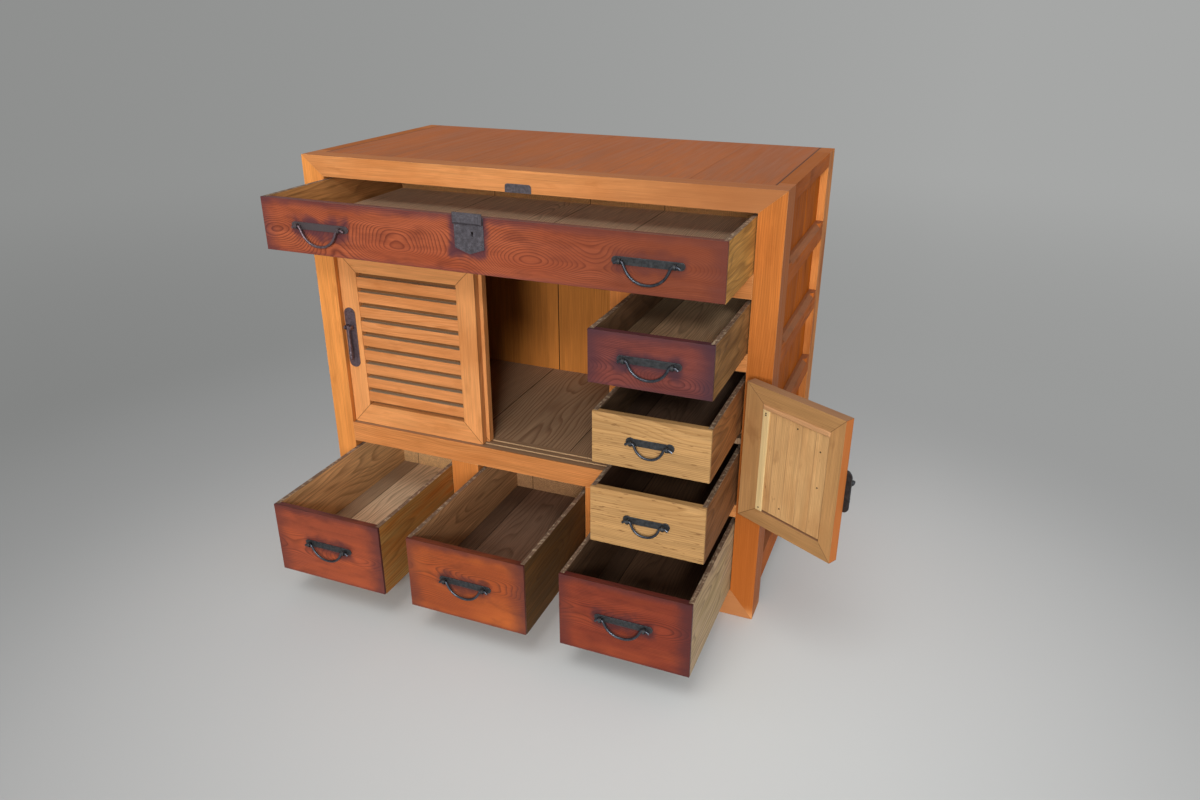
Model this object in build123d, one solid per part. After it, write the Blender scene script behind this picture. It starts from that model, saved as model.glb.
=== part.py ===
"""Isho clothing chest: mitred front frame, seven drawers, two sliding slatted doors and one hinged door.

Millimetres, +Z up. X runs left to right, the front faces -Y, and the origin is the middle of the
front bottom rail's underside, on the floor. The chest stands as in use: drawers pulled out, the
hinged door open and both sliding doors at the left.
"""

from build123d import *
import math
import os

os.makedirs("parts", exist_ok=True)

# ---------------------------------------------------------------- driving dimensions
# Case
case_width = 910.0
case_height = 800.0
case_depth = 455.0
stile_width = 45.0            # face width of the mitred front stiles
frame_thickness = 38.0        # front to back, of the mitred front frame
top_rail_height = 38.0
bottom_rail_height = 55.0
front_post_depth = 58.0       # how far each front stile's outer leg runs back
rear_post_depth = 58.0
side_board_recess = 14.0      # side boards lie this far behind the case's outer sides
board_thickness = 12.0        # side, back and dust boards
top_board_thickness = 14.0
back_rail_thickness = 15.0
back_rail_height = 55.0
back_rail_clearance = 20.0    # lowest back rail above the floor
board_gap = 1.2               # open joint that old boards have shrunk to
top_board_count = 6
top_board_gap = 0.4
back_joints = (299.0, 590.0)   # from the left wall
floor_joints = (76.0, 284.0, 492.0)   # from the left wall, behind the sliding doors
side_front_board = 191.0      # width of the foremost side board

# Front divisions
lower_opening_height = 158.0  # the three bottom drawers
middle_rail_height = 42.0
upper_rail_height = 42.0
top_opening_height = 98.0     # the long drawer
inner_rail_depth = 50.0       # front to back, of the rails that carry the sliding doors
column_width = 200.0          # small drawers and hinged door
divider_post_width = 45.0
lower_post_width = 60.0
sill_drop = 17.0              # the column's floor lies this much below the sliding doors' sill
small_opening_height = 94.0   # the small red drawer
small_rail_height = 32.5
shelf_setback = 20.0          # shelf's front edge, behind the case front
partition_thickness = 20.0

# Side frame rails
side_top_rail_height = 26.0
side_rail_height = 36.0
side_rail_count = 4
side_bottom_rail_z = 56.0
side_bottom_rail_height = 56.0
rail_chamfer = 8.0
chamfer_stop = 22.0           # plain length left at each end of a chamfer
cutter_margin = 1.0           # how far a chamfer's cutter stands clear of the wood

# Drawers
drawer_length = 420.0
inner_drawer_length = 388.0
drawer_front_thickness = 12.0
drawer_lap = 5.0              # front wood left over the ends of the sides
drawer_side_thickness = 8.0
drawer_bottom_thickness = 7.0
drawer_bottom_raise = 28.0    # bottom boards above the sides' lower edges
drawer_back_thickness = 9.0
drawer_back_drop = 4.0        # the back stands this much lower than the sides
drawer_side_clearance = 1.5
front_lift = 1.7              # lower edge of a front above the sides' lower edges
running_gap = 0.3             # under drawers and doors
front_setback = 1.0           # closed drawer fronts lie this far behind the case front
inner_setback = 34.0          # closed inner drawers, behind the hinged door
inner_drawer_width = 195.5    # leaves room for the open hinged door
top_headroom = 4.7            # above each drawer in its opening
small_headroom = 5.7
upper_light_headroom = 21.2
lower_light_headroom = 7.7
bottom_headroom = 13.7
light_height_difference = 12.0    # the lower light drawer is this much taller than the upper one
long_bottom_joints = (220.0, 430.0, 582.0)    # long drawer's bottom, from its left side
bottom_joints = (38.0,)       # the other drawers' bottoms, from their left sides
runner_height = 20.0          # lifts the upper light drawer off its shelf
runner_width = 16.0
guide_height = 22.0

# How far each drawer is pulled out of the case front
top_pull_out = 172.0
small_pull_out = 212.0
upper_light_pull_out = 195.0
lower_light_pull_out = 203.0
left_pull_out = 258.0
centre_pull_out = 264.0
right_pull_out = 260.0

# Sliding doors
sliding_door_width = 301.0
sliding_door_thickness = 15.0
sliding_recess = 10.0         # front door's face behind the case front
sliding_door_gap = 2.0        # between the two doors
sliding_stile = 39.5
sliding_bottom_rail = 43.0
sliding_top_rail = 40.0
sliding_end_gap = 1.0         # front door to the left stile
rear_door_offset = 7.0        # the rear door shows this much past the front one
tongue_thickness = 6.0
tongue_clearance = 0.5        # each side of a tongue in its groove
sill_groove_depth = 2.5
lift_room = 0.2               # spare height when a door is lifted out of its sill groove
head_tongue = 7.0
slat_count = 9
slat_height = 21.5
slat_recess = 0.8
backing_thickness = 3.5

# Hinged door
hinged_thickness = 18.0
hinged_gap = 1.25             # round the door in its opening
hinged_bottom_gap = 4.0
hinge_side_stile = 38.0
free_side_stile = 26.0
hinged_rail = 28.0
panel_recess = 6.0            # panel's outer face behind the door's
panel_thickness = 4.0
panel_field = 6.0             # raised on the inside of the panel
panel_margin = 2.0
panel_chamfer = 1.0
panel_board_count = 5
panel_joint = 0.4
hinged_open_angle = 151.0
hinge_inset = 11.0            # knuckle centre, outside the stile's inner edge
hinge_stand = 5.5             # knuckle centre, in front of the case
knuckle_radius = 4.0
hinge_pin_radius = 2.0
hinge_pin_clearance = 0.05
knuckle_gap = 0.4
leaf_thickness = 1.2
leaf_width = 24.0
hinge_height = 44.0
hinge_end_distance = 48.0     # from the door's end to the hinge's middle

# Bail pulls, forged from rod
rod_radius = 2.2
eye_clearance = 0.4
eye_wall = 1.9
eye_length = 4.0
eye_share = 0.375             # of a plate's length, from its middle to each eye
bail_stand = 7.5              # bail's axis in front of the wood
bail_stub = 9.0               # beyond the middle of each eye
bail_straight = 4.5           # from the middle of each eye to the bends on both sides
bail_curl = 3.0               # how far the stub's end drops
bail_foot_share = 0.62        # half width of the bail's foot, of its half width at the top
bail_small_bend = 3.0
bail_round = 0.96             # of the largest radius that the foot allows
plate_thickness = 1.6
plate_height = 12.0
lobe_radius = 7.5
large_pull = 114.0            # plate length, long drawer
large_drop = 32.0
medium_pull = 102.0           # red and bottom drawers
medium_drop = 26.0
small_pull = 80.0             # light drawers
small_drop = 22.0
long_drawer_pull_inset = 117.5    # from each end of the long front to the plate's middle
pull_height_share = 0.53      # of a front's height

# Drop pulls of the doors
drop_radius = 4.8
drop_stand = 10.5
drop_pin_radius = 1.8
drop_pin_clearance = 0.3
ear_gap = 10.0                # between the two ears
ear_thickness = 3.0
ear_radius = 4.2
long_drop_plate_width = 25.0
long_drop_plate_height = 126.0
long_drop_inset = 15.0        # plate's middle from the sliding door's left edge
long_drop_rise = 5.0          # plate's middle above the door's middle
long_drop_length = 69.0
long_drop_above = 24.0        # pivot above the plate's middle
short_drop_plate_width = 22.0
short_drop_plate_height = 74.0
short_drop_overhang = 10.0    # the plate laps this far past the hinged door's free edge
short_drop_length = 40.0
short_drop_above = 14.0

# Finger cup of the rear sliding door
cup_width = 22.0
cup_height = 58.0
cup_depth = 6.0
cup_wall = 1.2
cup_clearance = 0.2

# Lock of the long drawer
lock_offset = -5.0            # left of the middle
lock_width = 52.0
lock_height = 50.0
lock_point = 9.0              # depth of the pointed lower edge
lock_plate_thickness = 1.6
lock_top_margin = 0.5
keyhole_offset = 6.0
keyhole_drop = 25.0           # below the plate's top edge
keyhole_radius = 2.4
keyhole_slot = 6.0
keyhole_slot_width = 2.2
strike_inset = 1.0            # strike plate's ends inside the lock's
hood_height = 18.0
hood_depth = 7.5
hood_rise = 6.5               # above the drawer's top edge
hood_lip_thickness = 5.0
hood_bend = 3.0
strike_height = 15.0
strike_thickness = 1.2
strike_corner = 5.0
rivet_radius = 1.7
rivet_height = 0.9
rivet_margin = 4.5

# ---------------------------------------------------------------- derived places
left = -case_width / 2
right = case_width / 2
front = -frame_thickness / 2
back = front + case_depth
top = case_height
inner_left = left + stile_width
inner_right = right - stile_width

wall_thickness = side_board_recess + board_thickness
wall_left = left + wall_thickness
wall_right = right - wall_thickness
frame_back = front + frame_thickness
inner_rail_back = front + inner_rail_depth
front_post_back = front + front_post_depth
rear_post_y = back - rear_post_depth
back_board_y = back - back_rail_thickness - board_thickness

lower_opening_z = bottom_rail_height
middle_rail_z = lower_opening_z + lower_opening_height
sill_z = middle_rail_z + middle_rail_height
column_floor_z = sill_z - sill_drop
top_opening_z = top - top_rail_height - top_opening_height
upper_rail_z = top_opening_z - upper_rail_height
small_opening_z = upper_rail_z - small_opening_height
small_rail_z = small_opening_z - small_rail_height

top_drawer_height = top_opening_height - running_gap - top_headroom
small_drawer_height = small_opening_height - running_gap - small_headroom
bottom_drawer_height = lower_opening_height - running_gap - bottom_headroom
shelf_stack = board_thickness + runner_height + lower_light_headroom + upper_light_headroom
light_heights = small_rail_z - column_floor_z - shelf_stack - 2 * running_gap
lower_light_height = (light_heights + light_height_difference) / 2
upper_light_height = light_heights - lower_light_height
shelf_z = column_floor_z + running_gap + lower_light_height + lower_light_headroom
runner_z = shelf_z + board_thickness
upper_light_z = runner_z + runner_height
column_left = inner_right - column_width
post_left = column_left - divider_post_width
partition_x = column_left - partition_thickness

lower_opening_width = (inner_right - inner_left - 2 * lower_post_width) / 3
left_post_x = inner_left + lower_opening_width
centre_opening_x = left_post_x + lower_post_width
right_post_x = centre_opening_x + lower_opening_width
right_opening_x = right_post_x + lower_post_width

inner_drawer_right = column_left + drawer_side_clearance + inner_drawer_width
inner_guide_x = inner_drawer_right + drawer_side_clearance

front_door_x = inner_left + sliding_end_gap
front_door_y = front + sliding_recess
rear_door_x = front_door_x + rear_door_offset
rear_door_y = front_door_y + sliding_door_thickness + sliding_door_gap
sliding_z0 = sill_z + running_gap
sliding_z1 = upper_rail_z - sill_groove_depth - lift_room
head_groove_depth = head_tongue + lift_room

hinged_x0 = column_left + hinged_gap
hinged_x1 = inner_right - hinged_gap
hinged_z0 = column_floor_z + hinged_bottom_gap
hinged_z1 = small_rail_z - hinged_gap
hinge_x = inner_right + hinge_inset
hinge_y = front - hinge_stand
hinge_levels = [hinged_z0 + hinge_end_distance, hinged_z1 - hinge_end_distance]


# ---------------------------------------------------------------- shape helpers
def slab(x0, x1, y0, y1, z0, z1):
    """A board between two corners."""
    return Pos((x0 + x1) / 2, (y0 + y1) / 2, (z0 + z1) / 2) * Box(x1 - x0, y1 - y0, z1 - z0)


def face_piece(points, y0, y1):
    """An outline in the XZ plane, from y0 back to y1."""
    outline = make_face(Polyline(*[(x, y0, z) for x, z in points], close=True))
    return extrude(outline, amount=y1 - y0, dir=(0, 1, 0))


def plate(sketch, thickness):
    """A sketch as a plate on the wood at y = 0, standing out towards the front."""
    return Rot(90, 0, 0) * extrude(sketch, thickness)


def bar_x(x, y, z, length, radius):
    """A round bar along X, about its middle."""
    return Pos(x, y, z) * Rot(0, 90, 0) * Cylinder(radius, length)


def even_joints(x0, x1, count):
    """Places of the joints between boards of one width, from x0."""
    return [(x1 - x0) * n / count for n in range(1, count)]


def boards_across(x0, x1, y0, y1, z0, z1, joints, gap=board_gap):
    """Boards side by side along X; each joint, given from x0, is the middle of an open gap."""
    starts = [x0] + [x0 + joint + gap / 2 for joint in joints]
    ends = [x0 + joint - gap / 2 for joint in joints] + [x1]
    return [slab(a, b, y0, y1, z0, z1) for a, b in zip(starts, ends)]


def mitred_frame(x0, x1, y0, y1, z0, z1, left_stile, right_stile, low, high):
    """Left stile, right stile, bottom rail and top rail, mitred at the four corners."""
    ix0, ix1, iz0, iz1 = x0 + left_stile, x1 - right_stile, z0 + low, z1 - high
    outlines = [
        [(x0, z0), (x0, z1), (ix0, iz1), (ix0, iz0)],
        [(x1, z0), (x1, z1), (ix1, iz1), (ix1, iz0)],
        [(x0, z0), (x1, z0), (ix1, iz0), (ix0, iz0)],
        [(x0, z1), (x1, z1), (ix1, iz1), (ix0, iz1)],
    ]
    return [face_piece(points, y0, y1) for points in outlines]


def save(name, *shapes):
    """Writes one node, as a single solid or as a group of separate ones."""
    solids = [solid for shape in shapes for solid in shape.solids()]
    node = solids[0] if len(solids) == 1 else Compound(children=solids)
    node.label = name
    export_step(node, f"parts/{name}.step")


# ---------------------------------------------------------------- front frame
def front_frame():
    """Mitred frame of the front; each stile has a leg running back along its outer edge."""
    sizes = (stile_width, stile_width, bottom_rail_height, top_rail_height)
    pieces = mitred_frame(left, right, front, frame_back, 0, top, *sizes)
    legs = [
        slab(left, wall_left, frame_back, front_post_back, 0, top),
        slab(wall_right, right, frame_back, front_post_back, 0, top),
    ]
    save("front_stile_left", pieces[0] + legs[0])
    save("front_stile_right", pieces[1] + legs[1])
    save("front_rails", pieces[2], pieces[3])


def door_groove(door_y, z0, z1):
    """Groove for a sliding door's tongue, from the left stile to the divider post."""
    middle = door_y + sliding_door_thickness / 2
    half = tongue_thickness / 2 + tongue_clearance
    return slab(inner_left, post_left, middle - half, middle + half, z0, z1)


def door_rails():
    """Sill and head of the sliding doors; the sill is cut down under the hinged door."""
    sill = slab(inner_left, inner_right, front, inner_rail_back, middle_rail_z, sill_z)
    sill -= slab(column_left, inner_right, front, inner_rail_back, column_floor_z, sill_z)
    head = slab(inner_left, inner_right, front, inner_rail_back, upper_rail_z, top_opening_z)
    for door_y in (front_door_y, rear_door_y):
        sill -= door_groove(door_y, sill_z - sill_groove_depth, sill_z)
        head -= door_groove(door_y, upper_rail_z, upper_rail_z + head_groove_depth)
    save("middle_rail", sill)
    save("upper_rail", head)


def small_rail():
    """Rail between the red drawer and the hinged door."""
    save("small_rail", slab(column_left, inner_right, front, frame_back, small_rail_z, small_opening_z))


def front_posts():
    """Two posts between the bottom drawers and one beside the sliding doors."""
    lower = [
        slab(x, x + lower_post_width, front, frame_back, lower_opening_z, middle_rail_z)
        for x in (left_post_x, right_post_x)
    ]
    upper = slab(post_left, column_left, front, inner_rail_back, sill_z, upper_rail_z)
    save("front_posts", *lower, upper)


# ---------------------------------------------------------------- carcass
def chamfered_rail(x0, x1, rail_top, side):
    """Side rail whose outer top edge has a chamfer that stops short of both posts."""
    y0, y1 = front_post_back, rear_post_y
    rail = slab(x0, x1, y0, y1, rail_top - side_rail_height, rail_top)
    outer = x1 if side > 0 else x0
    near, far = y0 + chamfer_stop, y1 - chamfer_stop
    run = [
        (near, -cutter_margin),
        (near + rail_chamfer, rail_chamfer),
        (far - rail_chamfer, rail_chamfer),
        (far, -cutter_margin),
    ]
    sections = []
    for y, depth in run:
        clear_x, clear_z = outer + side * cutter_margin, rail_top + cutter_margin
        corners = [
            (clear_x, y, clear_z),
            (clear_x, y, rail_top - depth - cutter_margin),
            (outer - side * (depth + cutter_margin), y, clear_z),
        ]
        sections.append(make_face(Polyline(*corners, close=True)))
    for first, second in zip(sections, sections[1:]):
        rail -= loft([first, second], ruled=True)
    return rail


def side_frames():
    """Rails and upright boards of both sides, between the front and rear posts."""
    rails = []
    boards = []
    y0, y1 = front_post_back, rear_post_y
    board_top = top - side_top_rail_height
    board_foot = side_bottom_rail_z + side_bottom_rail_height
    pitch = (board_top - board_foot + side_rail_height) / (side_rail_count + 1)
    joint_y = y0 + side_front_board
    for side, outer, wall in ((-1, left, wall_left), (1, right, wall_right)):
        x0, x1 = min(outer, wall), max(outer, wall)
        rails.append(slab(x0, x1, y0, y1, board_top, top))
        rails.append(slab(x0, x1, y0, y1, side_bottom_rail_z, board_foot))
        face = outer - side * side_board_recess
        rail_x0, rail_x1 = min(outer, face), max(outer, face)
        for n in range(side_rail_count):
            rail_top = board_foot + (n + 1) * pitch
            rails.append(chamfered_rail(rail_x0, rail_x1, rail_top, side))
        board_x0, board_x1 = min(face, wall), max(face, wall)
        for a, b in ((y0, joint_y - board_gap / 2), (joint_y + board_gap / 2, y1)):
            boards.append(slab(board_x0, board_x1, a, b, board_foot, board_top))
    save("side_rails", *rails)
    save("side_boards", *boards)


def rear_frame():
    """Rear posts, which reach the top, and three rails between them."""
    pieces = [
        slab(left, wall_left, rear_post_y, back, 0, top),
        slab(wall_right, right, rear_post_y, back, 0, top),
    ]
    highest = top - top_board_thickness - back_rail_height
    for z in (back_rail_clearance, (back_rail_clearance + highest) / 2, highest):
        rail_y = back - back_rail_thickness
        pieces.append(slab(wall_left, wall_right, rail_y, back, z, z + back_rail_height))
    save("rear_frame", *pieces)


def case_boards():
    """Top boards running front to back, and upright back boards."""
    under_top = top - top_board_thickness
    joints = even_joints(wall_left, wall_right, top_board_count)
    place = (wall_left, wall_right, frame_back, back, under_top, top)
    save("top_boards", *boards_across(*place, joints, top_board_gap))
    foot = lower_opening_z - board_thickness
    place = (wall_left, wall_right, back_board_y, back_board_y + board_thickness, foot, under_top)
    save("back_boards", *boards_across(*place, back_joints))


def dust_boards():
    """Level boards under every row of drawers, and the floor behind the sliding doors."""
    places = [
        (wall_left, wall_right, frame_back, lower_opening_z),
        (column_left, wall_right, inner_rail_back, column_floor_z),
        (column_left, wall_right, frame_back, small_opening_z),
        (wall_left, wall_right, inner_rail_back, top_opening_z),
    ]
    boards = [slab(x0, x1, y, back_board_y, z - board_thickness, z) for x0, x1, y, z in places]
    place = (wall_left, partition_x, inner_rail_back, back_board_y, sill_z - board_thickness, sill_z)
    boards += boards_across(*place, floor_joints)
    shelf = slab(column_left, wall_right, front + shelf_setback, back_board_y, shelf_z, runner_z)
    shelf -= slab(inner_right, wall_right, front, frame_back, shelf_z, runner_z)
    save("dust_boards", *boards, shelf)


def column_partition():
    """Upright wall between the sliding doors' compartment and the small drawers."""
    foot = column_floor_z - board_thickness
    head = top_opening_z - board_thickness
    save("column_partition", slab(partition_x, column_left, inner_rail_back, back_board_y, foot, head))


def drawer_guides():
    """Strips that keep the drawers straight, and the runners of the upper light drawer."""
    strips = [
        (wall_left, inner_left, frame_back, lower_opening_z),
        (left_post_x, centre_opening_x, frame_back, lower_opening_z),
        (right_post_x, right_opening_x, frame_back, lower_opening_z),
        (inner_right, wall_right, frame_back, lower_opening_z),
        (inner_guide_x, wall_right, inner_rail_back, column_floor_z),
        (inner_right, wall_right, frame_back, small_opening_z),
        (wall_left, inner_left, inner_rail_back, top_opening_z),
        (inner_right, wall_right, inner_rail_back, top_opening_z),
    ]
    guides = [slab(x0, x1, y, back_board_y, z, z + guide_height) for x0, x1, y, z in strips]
    guides.append(
        slab(inner_guide_x, wall_right, frame_back, back_board_y, upper_light_z, upper_light_z + guide_height)
    )
    for x0, x1 in (
        (column_left, column_left + runner_width),
        (inner_drawer_right - runner_width, wall_right),
    ):
        guides.append(slab(x0, x1, frame_back, back_board_y, runner_z, upper_light_z))
    save("drawer_guides", *guides)


# ---------------------------------------------------------------- bail pulls
def bail_eyes(length):
    """The two eyes that carry a bail, with their shanks, on a plate at the origin."""
    bore = rod_radius + eye_clearance
    outer = bore + eye_wall
    shapes = []
    for x in (-length * eye_share, length * eye_share):
        eye = bar_x(x, -bail_stand, 0, eye_length, outer)
        eye += slab(x - eye_length / 2, x + eye_length / 2, -bail_stand, 0, -eye_wall, eye_wall)
        shapes.append(eye - bar_x(x, -bail_stand, 0, eye_length * 2, bore))
    return shapes


def pull_plate(length, lobed=False):
    """Backing plate and eyes of one bail pull, on the wood at the origin."""
    outline = SlotOverall(length, plate_height)
    if lobed:
        for x in (-length / 2 + lobe_radius, length / 2 - lobe_radius):
            outline += Pos(x, 0) * Circle(lobe_radius)
    body = plate(outline, plate_thickness)
    for eye in bail_eyes(length):
        body += eye
    return body


def bail(length, drop):
    """Hanging bail about its axis at the origin: a round foot, and stubs that run out through the eyes."""
    eye = length * eye_share
    bend = eye - bail_straight
    foot = bend * bail_foot_share
    turn = math.atan2(drop, bend - foot)
    round_radius = bail_round * foot / math.tan(turn / 2)
    half = [(eye + bail_stub, -bail_curl), (eye + bail_straight, 0), (bend, 0), (foot, -drop)]
    points = [(-x, z) for x, z in half] + half[::-1]
    bends = [bail_small_bend, bail_small_bend, round_radius]
    path = FilletPolyline(*[(x, 0, z) for x, z in points], radius=bends + bends[::-1])
    profile = Plane(origin=path @ 0, z_dir=path % 0) * Circle(rod_radius)
    return sweep(profile, path=path)


# ---------------------------------------------------------------- drawers
def drawer_face_y(pull_out):
    """Front face of a drawer that is pulled out of the case front."""
    return front - pull_out


def drawer_front(x0, x1, y0, z0, z1):
    """Front board with a rabbet at each end for the side's lap joint."""
    board = slab(x0, x1, y0, y0 + drawer_front_thickness, z0 + front_lift, z1)
    for x in (x0, x1 - drawer_side_thickness):
        rabbet_end = x + drawer_side_thickness
        board -= slab(x, rabbet_end, y0 + drawer_lap, y0 + drawer_front_thickness, z0, z1)
    return board


def drawer_box(x0, x1, y0, z0, z1, length, joints):
    """Sides, back and bottom boards."""
    y1 = y0 + length
    ix0, ix1 = x0 + drawer_side_thickness, x1 - drawer_side_thickness
    bottom_z = z0 + drawer_bottom_raise
    back_z = bottom_z + drawer_bottom_thickness
    pieces = [
        slab(x0, ix0, y0 + drawer_lap, y1, z0, z1),
        slab(ix1, x1, y0 + drawer_lap, y1, z0, z1),
        slab(ix0, ix1, y1 - drawer_back_thickness, y1, back_z, z1 - drawer_back_drop),
    ]
    place = (ix0, ix1, y0 + drawer_front_thickness, y1, bottom_z, back_z)
    return pieces + boards_across(*place, joints, top_board_gap)


def drawer(name, x0, x1, opening_z, height, length, pull_out, pull):
    """One drawer with its pull, or with two; pull holds plate length, drop, inset and lobes."""
    y0 = drawer_face_y(pull_out)
    z0 = opening_z + running_gap
    z1 = z0 + height
    plate_length, drop, inset, lobed = pull
    places = [x0 + inset, x1 - inset] if inset else [(x0 + x1) / 2]
    save(f"{name}_front", drawer_front(x0, x1, y0, z0, z1))
    joints = long_bottom_joints if inset else bottom_joints
    save(f"{name}_box", *drawer_box(x0, x1, y0, z0, z1, length, joints))
    pull_z = z0 + front_lift + pull_height_share * (height - front_lift)
    plates = [Pos(x, y0, pull_z) * pull_plate(plate_length, lobed) for x in places]
    save(f"{name}_pull", *plates)
    for x, suffix in zip(places, ("", "_right")):
        save(f"{name}_bail{suffix}", Pos(x, y0 - bail_stand, pull_z) * bail(plate_length, drop))


def all_drawers():
    """The long drawer, the red one, two light ones behind the door and three at the bottom."""
    gap = drawer_side_clearance
    large = (large_pull, large_drop, long_drawer_pull_inset, False)
    medium = (medium_pull, medium_drop, 0, False)
    light = (small_pull, small_drop, 0, True)
    drawer(
        "top_drawer",
        inner_left + gap,
        inner_right - gap,
        top_opening_z,
        top_drawer_height,
        drawer_length,
        top_pull_out,
        large,
    )
    drawer(
        "red_drawer",
        column_left + gap,
        inner_right - gap,
        small_opening_z,
        small_drawer_height,
        drawer_length,
        small_pull_out,
        medium,
    )
    for name, z, height, pull_out in (
        ("upper_light_drawer", upper_light_z, upper_light_height, upper_light_pull_out),
        ("lower_light_drawer", column_floor_z, lower_light_height, lower_light_pull_out),
    ):
        drawer(
            name,
            column_left + gap,
            inner_drawer_right,
            z,
            height,
            inner_drawer_length,
            pull_out,
            light,
        )
    for name, x, pull_out in (
        ("left_drawer", inner_left, left_pull_out),
        ("centre_drawer", centre_opening_x, centre_pull_out),
        ("right_drawer", right_opening_x, right_pull_out),
    ):
        drawer(
            name,
            x + gap,
            x + lower_opening_width - gap,
            lower_opening_z,
            bottom_drawer_height,
            drawer_length,
            pull_out,
            medium,
        )


# ---------------------------------------------------------------- lock
def rivet(x, z):
    """Low rivet head on the lock plate."""
    return Pos(x, -lock_plate_thickness - rivet_height / 2, z) * Rot(90, 0, 0) * Cylinder(
        rivet_radius, rivet_height
    )


def lock():
    """Pointed lock plate with its keyhole, and the hood that covers the drawer's top edge."""
    edge_z = top_opening_z + running_gap + top_drawer_height
    place = Pos(lock_offset, drawer_face_y(top_pull_out), edge_z)
    half = lock_width / 2
    z1 = -lock_top_margin
    z0 = z1 - lock_height
    points = [(-half, z1), (half, z1), (half, z0), (0, z0 - lock_point), (-half, z0)]
    body = face_piece(points, -lock_plate_thickness, 0)
    key_z = z1 - keyhole_drop
    outline = Circle(keyhole_radius)
    outline += Pos(0, -keyhole_slot / 2) * Rectangle(keyhole_slot_width, keyhole_slot)
    body -= Pos(keyhole_offset, 0, key_z) * plate(outline, lock_plate_thickness)
    rivet_x = half - rivet_margin
    hood_foot = hood_rise - hood_height
    for x, z in (
        (-rivet_x, hood_foot - rivet_margin),
        (rivet_x, hood_foot - rivet_margin),
        (-rivet_x, z0 + rivet_margin),
        (rivet_x, z0 + rivet_margin),
        (0, z0 - lock_point + 2 * rivet_margin),
    ):
        body += rivet(x, z)
    save("lock_plate", place * body)
    hood_back = -lock_plate_thickness
    hood_front = hood_back - hood_depth
    hood = slab(-half, half, hood_front, hood_back, hood_foot, hood_rise)
    hood -= slab(-half, half, hood_front + hood_lip_thickness, hood_back, z1 - rivet_margin, hood_rise)
    front_edges = hood.faces().sort_by(Axis.Y)[0].edges()
    hood = chamfer(front_edges, hood_bend)
    save("lock_hood", place * hood)


def strike_plate():
    """Small iron plate on the top rail, above the lock."""
    z0 = top - top_rail_height
    outline = Rectangle(lock_width - 2 * strike_inset, strike_height)
    outline = fillet(outline.vertices().group_by(Axis.Y)[-1], strike_corner)
    body = plate(outline, strike_thickness)
    save("strike_plate", Pos(lock_offset, front, z0 + strike_height / 2) * body)


# ---------------------------------------------------------------- drop pulls
def drop_pull_plate(width, height, above):
    """Plate with rounded ends and two ears; the origin is the pivot's place on the wood."""
    body = Pos(0, 0, -above) * plate(Rot(0, 0, 90) * SlotOverall(height, width), plate_thickness)
    offset = (ear_gap + ear_thickness) / 2
    for x in (-offset, offset):
        body += bar_x(x, -drop_stand, 0, ear_thickness, ear_radius)
        x0, x1 = x - ear_thickness / 2, x + ear_thickness / 2
        body += slab(x0, x1, -drop_stand, 0, -ear_radius, ear_radius)
    return body - bar_x(0, -drop_stand, 0, 2 * ear_gap, drop_pin_radius + drop_pin_clearance)


def drop(length):
    """Turned drop with two bands near its end, hanging from its pin at the origin."""
    profile = [
        (0.0, 0.06),
        (0.72, 0.06),
        (0.62, -0.10),
        (0.84, -0.74),
        (1.0, -0.76),
        (1.0, -0.81),
        (0.76, -0.83),
        (0.76, -0.86),
        (1.0, -0.88),
        (0.94, -0.95),
        (0.5, -1.0),
        (0.0, -1.0),
    ]
    points = [(r * drop_radius, 0, share * length) for r, share in profile]
    body = revolve(make_face(Polyline(*points, close=True)), Axis.Z)
    return body + bar_x(0, 0, 0, ear_gap + 2 * ear_thickness, drop_pin_radius)


# ---------------------------------------------------------------- sliding doors
def sliding_door(name, x0, y0):
    """Mitred frame with a tongue above and below, level slats and their backing board."""
    x1 = x0 + sliding_door_width
    y1 = y0 + sliding_door_thickness
    sizes = (sliding_stile, sliding_stile, sliding_bottom_rail, sliding_top_rail)
    frame = mitred_frame(x0, x1, y0, y1, sliding_z0, sliding_z1, *sizes)
    middle = y0 + sliding_door_thickness / 2
    t0, t1 = middle - tongue_thickness / 2, middle + tongue_thickness / 2
    frame[2] += slab(x0, x1, t0, t1, sliding_z0 - sill_groove_depth, sliding_z0)
    frame[3] += slab(x0, x1, t0, t1, sliding_z1, sliding_z1 + head_tongue)
    ix0, ix1 = x0 + sliding_stile, x1 - sliding_stile
    iz0, iz1 = sliding_z0 + sliding_bottom_rail, sliding_z1 - sliding_top_rail
    backing_y = y1 - backing_thickness
    gap = (iz1 - iz0 - slat_count * slat_height) / (slat_count + 1)
    slats = [slab(ix0, ix1, backing_y, y1, iz0, iz1)]
    for n in range(slat_count):
        z = iz0 + gap + n * (slat_height + gap)
        slats.append(slab(ix0, ix1, y0 + slat_recess, backing_y, z, z + slat_height))
    save(f"{name}_slats", *slats)
    return frame


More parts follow.
